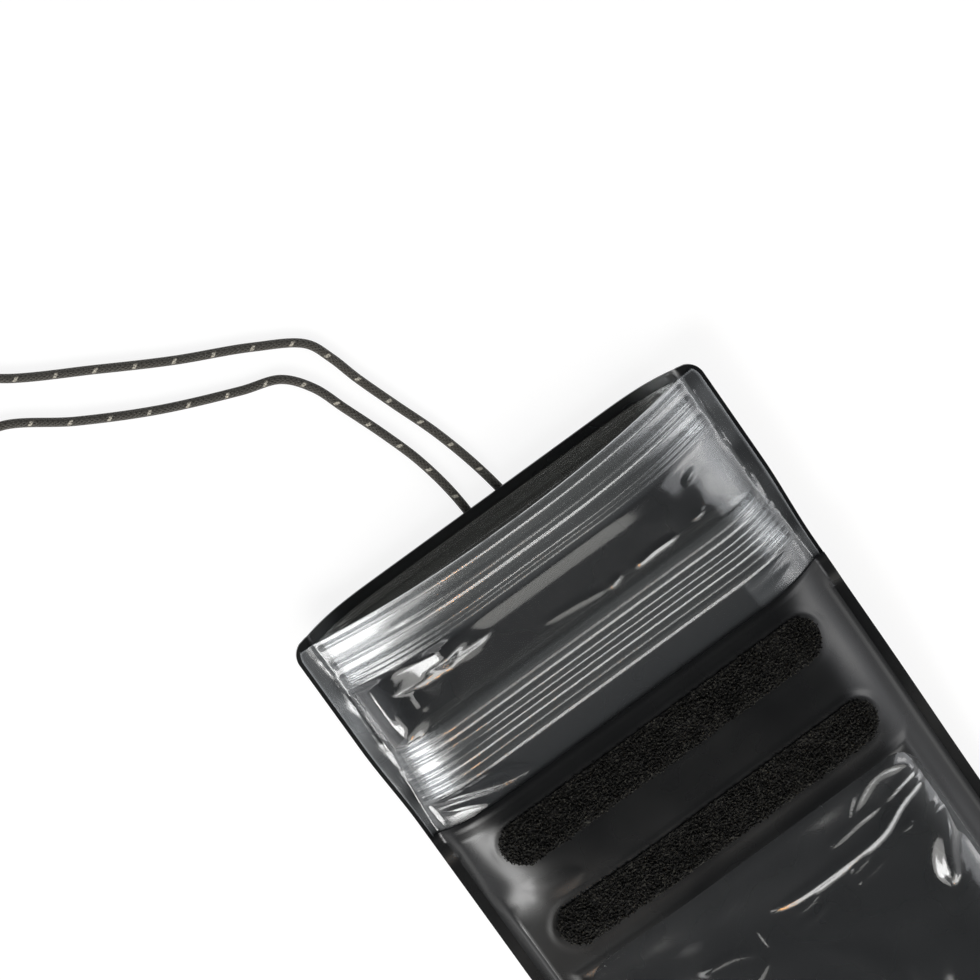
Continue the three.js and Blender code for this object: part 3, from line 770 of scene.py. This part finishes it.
def makeBlackFront():
    start, end, radius = form["windowStart"], form["windowEnd"], form["windowCorner"]
    length, corner, edge = form["length"], form["bottomCorner"], blackFront["windowColumn"]
    above, beside, below = blackFront["rowSteps"]
    arc = radius * (1 - np.cos(np.linspace(0, np.pi / 2, 15)))
    rows = joined(steps(form["seam"], start, above), start + arc, steps(start + radius, end - radius, beside),
                  end - arc, steps(end, length - corner, below),
                  length - corner * (1 - np.sin(np.linspace(0, np.pi / 2, 14))))
    half = joined(np.linspace(0, edge, 68), np.linspace(edge, 1, 26), np.linspace(1, 2, 5))

    def outsideWindow(column, station):
        # Cells whose four corners lie in the window are left out
        inWindow = (np.abs(column) <= edge + 1e-6) & (station >= start - 1e-6) & (station <= end + 1e-6)
        return ~(inWindow[:-1, :-1] & inWindow[1:, :-1] & inWindow[1:, 1:] & inWindow[:-1, 1:])

    piece = filmSheet("black_front_film", rows, mirrored(half), blackX,
                      lambda x, s: blackUnder(x, s) + blackRelief(x, s), blackFilm, keep=outsideWindow)
    standsFor(piece, "black_film", "black_front_panel")


makeBlackFront()
print("films made")

# Press-to-close zips: extruded ribs, pressed flat towards the side welds
zips = {
    "base": 0.4, "ribHeight": 1.1, "ribWidth": 0.9, "ramp": 0.22, "reach": 0.962,
    "upper": (0.05, 0.36, 0.62, 0.95), "lower": (0.12, 0.33, 0.52, 0.72, 0.95), "columns": 120,
}


def makeZip(name, zone, shares):
    start, width = zone
    end, inner = start + width, width - zips["ribWidth"] - 0.24
    ribs = [start + 0.12 + share * inner + zips["ribWidth"] / 2 for share in shares]
    half, ramp = zips["ribWidth"] / 2, zips["ramp"]
    shifts = (-ramp, -ramp / 2, 0, ramp * 0.4)
    edges = [rib + way * (half + shift) for rib in ribs for way in (-1, 1) for shift in shifts]
    rows = joined(np.array([start, end]), np.clip(edges, start, end), steps(start, end, 0.6))
    columns = np.linspace(-1, 1, zips["columns"] + 1)

    def ribHeight(x, s):
        pressed = 1 - smoothstep(np.abs(x) / innerHalf(s), 0.78, 0.9)
        nearest = np.min([np.abs(s - rib) for rib in ribs], axis=0)
        return zips["ribHeight"] * pressed * (1 - smoothstep(nearest, half - ramp, half + ramp * 0.4))

    placeX = lambda c, s: c * zips["reach"] * innerHalf(s)
    frontTop = lambda x, s: frontUnder(x, s) - form["weldGap"]
    frontLow = lambda x, s: frontTop(x, s) - zips["base"] - ribHeight(x, s)
    backLow = lambda x, s: backUnder(x, s) + form["film"] + form["weldGap"]
    backTop = lambda x, s: backLow(x, s) + zips["base"] + ribHeight(x, s)
    for side, under, over in (("front", frontLow, frontTop), ("back", backLow, backTop)):
        strip = closedSheet(f"{name}_zip_{side}_profile", rows, columns, placeX, under, over, clearProfile,
                            smoothAngle=60)
        standsFor(strip, "clear_profile", f"{name}_zip_{side}")


makeZip("upper", form["upperZip"], zips["upper"])
makeZip("lower", form["lowerZip"], zips["lower"])
print("zips made")


# Hook and loop strips
def makePile():
    # Nylon loop pile, knitted and brushed: matt black, with tiny grey glints painted into its colour at
    # random, painted highlights for where a loop turns to the light
    material, tree = newMaterial("knitted_nylon_loop_pile")
    where = objectPlace(tree)
    paintedGlint = remap(tree, addNoise(tree, where, 1 / (0.5 * mm), 1.0), 0.5, 0.7, 0.0, 1.0)
    tone = mixColours(tree, paintedGlint, linear("#020202"), linear("#393832"))
    finishPrincipled(tree, {"Base Color": tone, "Roughness": 0.7, "IOR": 1.53, "Specular IOR Level": 0.22})
    return material


def makeHookTape():
    # Nylon hook tape, woven with cut monofilament hooks: stiff, black and slightly shiny
    material, tree = newMaterial("woven_nylon_hook_tape")
    where = objectPlace(tree)
    rows = addWaves(tree, where, 1 / (0.5 * mm) / (2 * np.pi), "X")
    # Painted shade: the black is darker between the woven rows and lighter on them, following the bump
    tone = mixColours(tree, rows, linear("#0c0c0d"), linear("#161717"))
    finishPrincipled(tree, {"Base Color": tone, "Roughness": 0.45, "IOR": 1.53,
                            "Normal": addBump(tree, rows, 0.5, 0.0001)})
    return material


loopPile = makePile()
hookTape = makeHookTape()
loops = {"count": 3600, "fibre": 0.14, "height": (0.5, 1.1), "span": (0.13, 0.36), "base": 0.3, "segments": 5}
hooks = {"spacing": 1.05, "fibre": 0.11, "height": 0.8, "reach": 0.4, "base": 0.4, "segments": 5}


def stripSheet(name, centre, thickness, under, material):
    # A flat tape with round ends, bent over what carries it
    radius = form["stripWidth"] / 2
    rows = centre + radius * np.sin(np.linspace(-np.pi / 2, np.pi / 2, 19))
    reach = form["stripLength"] / 2 - radius
    placeX = lambda c, s: c * (reach + np.sqrt(np.clip(radius**2 - (s - centre) ** 2, 0, None)))
    return closedSheet(name, rows, np.linspace(-1, 1, 101), placeX, under,
                       lambda x, s: under(x, s) + thickness, material)


def fibreTubes(centres, radius):
    # Three-sided tubes along many short curves at once: centres is (tubes, points, 3)
    tangent = np.gradient(centres, axis=1)
    tangent /= np.linalg.norm(tangent, axis=2)[..., None] + 1e-12
    other = np.cross(tangent, np.array([0.31, 0.95, 0.08]))
    other /= np.linalg.norm(other, axis=2)[..., None] + 1e-12
    third = np.cross(tangent, other)
    angle = np.linspace(0, 2 * np.pi, 3, endpoint=False)
    ring = np.cos(angle)[:, None] * other[..., None, :] + np.sin(angle)[:, None] * third[..., None, :]
    vertices = centres[..., None, :] + ring * radius
    tubes, points = centres.shape[:2]
    ids = np.arange(tubes * points * 3).reshape(tubes, points, 3)
    a, b = ids[:, :-1], ids[:, 1:]
    quads = np.stack([a, np.roll(a, -1, 2), np.roll(b, -1, 2), b], 3).reshape(-1, 4)
    ends = np.vstack([ids[:, 0, ::-1], ids[:, -1]])
    return vertices.reshape(-1, 3), quads.tolist() + ends.tolist()


def makeLoopStrip(name, node, centre, seed):
    under = lambda x, s: blackUnder(x, s) + form["film"] + 0.05
    tape = stripSheet(name + "_tape", centre, loops["base"], under, loopPile)
    random = np.random.default_rng(seed)
    # Loops stand where a jittered grid puts them, inside the outline
    pitch = np.sqrt(form["stripLength"] * form["stripWidth"] / loops["count"])
    gx, gs = np.meshgrid(np.arange(-42, 42, pitch), np.arange(-5.2, 5.2, pitch))
    x = (gx + random.uniform(-0.5, 0.5, gx.shape) * pitch).ravel()
    s = (gs + random.uniform(-0.5, 0.5, gs.shape) * pitch).ravel() + centre
    inside = stripDistance(x, s, centre) < 0.25
    x, s = x[inside], s[inside]
    count = len(x)
    turn = random.uniform(0, 2 * np.pi, count)
    span = random.uniform(*loops["span"], count)
    # Loops stand in tufts, and lower towards the cut edge
    tufts = 0.8 + 0.35 * softNoise(x, s, 1.5, seed) + 0.12 * softNoise(x, s, 6, seed + 1)
    cropped = 0.6 + 0.4 * smoothstep(-stripDistance(x, s, centre), 0, 1.4)
    tall = random.uniform(*loops["height"], count) * tufts * cropped
    lean = random.normal(0, 0.28, (count, 2))
    # An arch: half a turn from foot to foot, its top pushed sideways by the lean
    t = np.linspace(0, np.pi, loops["segments"] + 1)
    reach = -np.cos(t)[None] * span[:, None] * (0.5 + 0.35 * np.sin(t)[None])
    rise = np.sin(t)[None] * tall[:, None]
    px = x[:, None] + reach * np.cos(turn)[:, None] + lean[:, :1] * rise
    ps = s[:, None] + reach * np.sin(turn)[:, None] + lean[:, 1:] * rise
    ground = under(x, s)[:, None] + loops["base"] - 0.12
    centres = np.stack([px, form["length"] / 2 - ps, ground + rise], 2)
    vertices, faces = fibreTubes(centres, loops["fibre"])
    pile = newPiece(name + "_pile", (vertices * mm).tolist(), faces, loopPile, smoothAngle=180)
    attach(pile, "root")
    for piece in (tape, pile):
        standsFor(piece, "loop_pile", node)


makeLoopStrip("upper_loop", "upper_loop_strip", form["upperLoop"], 41)
makeLoopStrip("lower_loop", "lower_loop_strip", form["lowerLoop"], 42)


def makeHookStrip():
    centre = form["hook"]
    top = lambda x, s: backUnder(x, s) - form["weldGap"]
    tape = stripSheet("hook_tape", centre, hooks["base"], lambda x, s: top(x, s) - hooks["base"], hookTape)
    gx, gs = np.meshgrid(np.arange(-41, 41.1, hooks["spacing"]), np.arange(-4.5, 4.6, hooks["spacing"]))
    x, s = gx.ravel(), gs.ravel() + centre
    inside = stripDistance(x, s, centre) < -0.4
    x, s = x[inside], s[inside]
    way = np.where(np.round((s - centre) / hooks["spacing"]).astype(int) % 2 == 0, 1.0, -1.0)
    # A hook: straight down from the tape, then bent over sideways and back up a little
    t = np.linspace(0, 1.25 * np.pi, hooks["segments"] + 1)
    sideways = hooks["reach"] / 2 * (1 - np.cos(t))[None] * way[:, None]
    bend = np.where(t < np.pi / 2, np.sin(t), 1 - 0.45 * (1 - np.sin(t)))[None]
    down = bend * (hooks["height"] - hooks["fibre"])
    ground = top(x, s)[:, None] - hooks["base"] + 0.1
    y = np.broadcast_to((form["length"] / 2 - s)[:, None], sideways.shape)
    centres = np.stack([x[:, None] + sideways, y, ground - down], 2)
    vertices, faces = fibreTubes(centres, hooks["fibre"])
    filaments = newPiece("hook_filaments", (vertices * mm).tolist(), faces, hookTape, smoothAngle=180)
    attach(filaments, "root")
    for piece in (tape, filaments):
        standsFor(piece, "hook_tape", "hook_strip")


makeHookStrip()
print("hook and loop strips made")

# Band on the back that the lanyard runs through
band = {
    "width": 7.0, "length": 24.0, "thickness": 0.8, "floor": 7.0, "tab": 5.0, "station": 61.0,
    "thread": 0.55,
}


def makeWebbing():
    # Woven polyester webbing: flat ribs across, a fine rib in each, black
    material, tree = newMaterial("woven_polyester_webbing")
    where = objectPlace(tree)
    scale = 1 / (band["thread"] * mm) / (2 * np.pi) * 2
    weft, warp = addWaves(tree, where, scale, "Y"), addWaves(tree, where, scale, "X")
    weaveReliefAndShade = calculate(tree, "MULTIPLY", weft, warp)
    # Painted shade: the black is darker in the weave's hollows and lighter on its raised threads, following
    # the bump
    tone = mixColours(tree, weaveReliefAndShade, linear("#0b0b0c"), linear("#1b1c1c"))
    finishPrincipled(tree, {"Base Color": tone, "Roughness": 0.75, "Sheen Weight": 0.2,
                            "Normal": addBump(tree, weaveReliefAndShade, 0.8, 0.00015)})
    return material


def makeBand():
    half, tabTop = band["length"] / 2, form["lift"] - form["weldGap"]
    low = tabTop - band["thickness"]
    tab, flat = half - band["tab"], band["floor"] / 2
    corners = np.array([(-half, low), (-tab, low), (-flat, 0), (flat, 0), (tab, low), (half, low)])
    centre = band["station"]
    under = lambda x, s: np.interp(s - centre, corners[:, 0], corners[:, 1])
    rows = centre + joined(steps(-half, half, 0.4), corners[:, 0])
    piece = closedSheet("lanyard_band_webbing", rows, np.linspace(-band["width"] / 2, band["width"] / 2, 15),
                        lambda c, s: c, under, lambda x, s: under(x, s) + band["thickness"], makeWebbing())
    standsFor(piece, "webbing", "lanyard_band")


makeBand()
print("band made")


# Studio: pale floor, a softbox with a wider dim one round it on the left, on the right and in front, a low
# strip behind and a small warm lamp
floorFacts = {"half": 6, "below": 0.0003, "colour": "#f2f2f2", "glow": 1.08, "glowShare": 0.8}


def makeFloor():
    # White paper: it looks evenly bright, but lights the pouch only as plain paper does
    material, tree = newMaterial("pale_paper_floor")
    path = addNode(tree, "ShaderNodeLightPath").outputs
    seen = calculate(tree, "MAXIMUM", path["Is Camera Ray"], path["Is Glossy Ray"])
    seen = calculate(tree, "MAXIMUM", seen, path["Is Transmission Ray"])
    paper = addNode(tree, "ShaderNodeBsdfDiffuse", {0: linear(floorFacts["colour"])}).outputs[0]
    white = addNode(tree, "ShaderNodeEmission", {0: (1, 1, 1, 1), 1: floorFacts["glow"]}).outputs[0]
    shown = mixShaders(tree, floorFacts["glowShare"], paper, white)
    addNode(tree, "ShaderNodeOutputMaterial", {0: mixShaders(tree, seen, paper, shown)})
    mesh = bpy.data.meshes.new("floor")
    half, z = floorFacts["half"], -floorFacts["below"]
    corners = [(x * half, y * half, z) for x, y in ((-1, -1), (1, -1), (1, 1), (-1, 1))]
    mesh.from_pydata(corners, [], [(0, 1, 2, 3)])
    mesh.materials.append(material)
    floor = bpy.data.objects.new("floor", mesh)
    putIn(floor)


aim = (0.0, 0.07, 0.012)
softboxes = {  # direction from the aim, distance and size in m, radiance and colour
    "left": ((-0.66, -0.34, 0.67), 1.3, (0.55, 0.5), 8.5, "#ffffff"),
    "leftWide": ((-0.60, -0.34, 0.72), 1.4, (1.15, 0.9), 2.6, "#fffefb"),
    "right": ((0.74, -0.32, 0.58), 1.3, (0.4, 0.4), 2.6, "#fffdfa"),
    "rightWide": ((0.76, -0.32, 0.56), 1.4, (0.9, 0.9), 1.4, "#f8faff"),
    "front": ((0.03, -0.956, 0.292), 1.5, (1.7, 0.42), 3.2, "#ffffff"),
    "frontWide": ((0.03, -0.927, 0.375), 1.5, (1.5, 0.95), 1.3, "#fbfbf6"),
    "behind": ((0.0, 0.95, 0.36), 1.5, (1.4, 0.22), 3.0, "#ffffff"),
    "warm": ((-0.13, -0.88, 0.46), 1.5, (0.2, 0.06), 24.0, "#ffac3c"),
}


def addSoftbox(name, direction, distance, size, radiance, colour):
    # A flat panel turned to the pouch; its power is its radiance times pi times its area
    light = bpy.data.lights.new(name + "_softbox", "AREA")
    light.shape = "RECTANGLE"
    light.size, light.size_y = size
    light.energy = radiance * np.pi * size[0] * size[1]
    light.color = linear(colour)[:3]
    towards = Vector(direction).normalized()
    panel = bpy.data.objects.new(name + "_softbox", light)
    panel.location = Vector(aim) + towards * distance
    panel.rotation_euler = towards.to_track_quat("Z", "Y").to_euler()
    putIn(panel)


# How bright the surroundings are, from the horizon up
skyStops = ((0.0, 0.8), (0.2, 0.7), (0.4, 0.3), (0.6, 0.12), (0.8, 0.05), (0.92, 0.03))


def makeWorld():
    # Bright near the horizon, dark overhead, so that flat black film stays black
    world = bpy.data.worlds.new("studio")
    bpy.context.scene.world = world
    world.use_nodes = True
    tree = world.node_tree
    tree.nodes.clear()
    where = addNode(tree, "ShaderNodeTexCoord")
    height = addNode(tree, "ShaderNodeSeparateXYZ", {0: where.outputs["Generated"]})
    ramp = addNode(tree, "ShaderNodeValToRGB", {0: height.outputs[2]})
    ramp.color_ramp.interpolation = "EASE"
    for place, value in skyStops[2:]:
        ramp.color_ramp.elements.new(place).color = (value, value, value, 1)
    for element, (place, value) in zip(ramp.color_ramp.elements, skyStops):
        element.position = place
        element.color = (value, value, value * 1.02, 1)
    glow = addNode(tree, "ShaderNodeBackground", {0: ramp.outputs[0], 1: 1.0})
    addNode(tree, "ShaderNodeOutputWorld", {0: glow.outputs[0]})


makeFloor()
for name, facts in softboxes.items():
    addSoftbox(name, *facts)
makeWorld()
print("studio made")
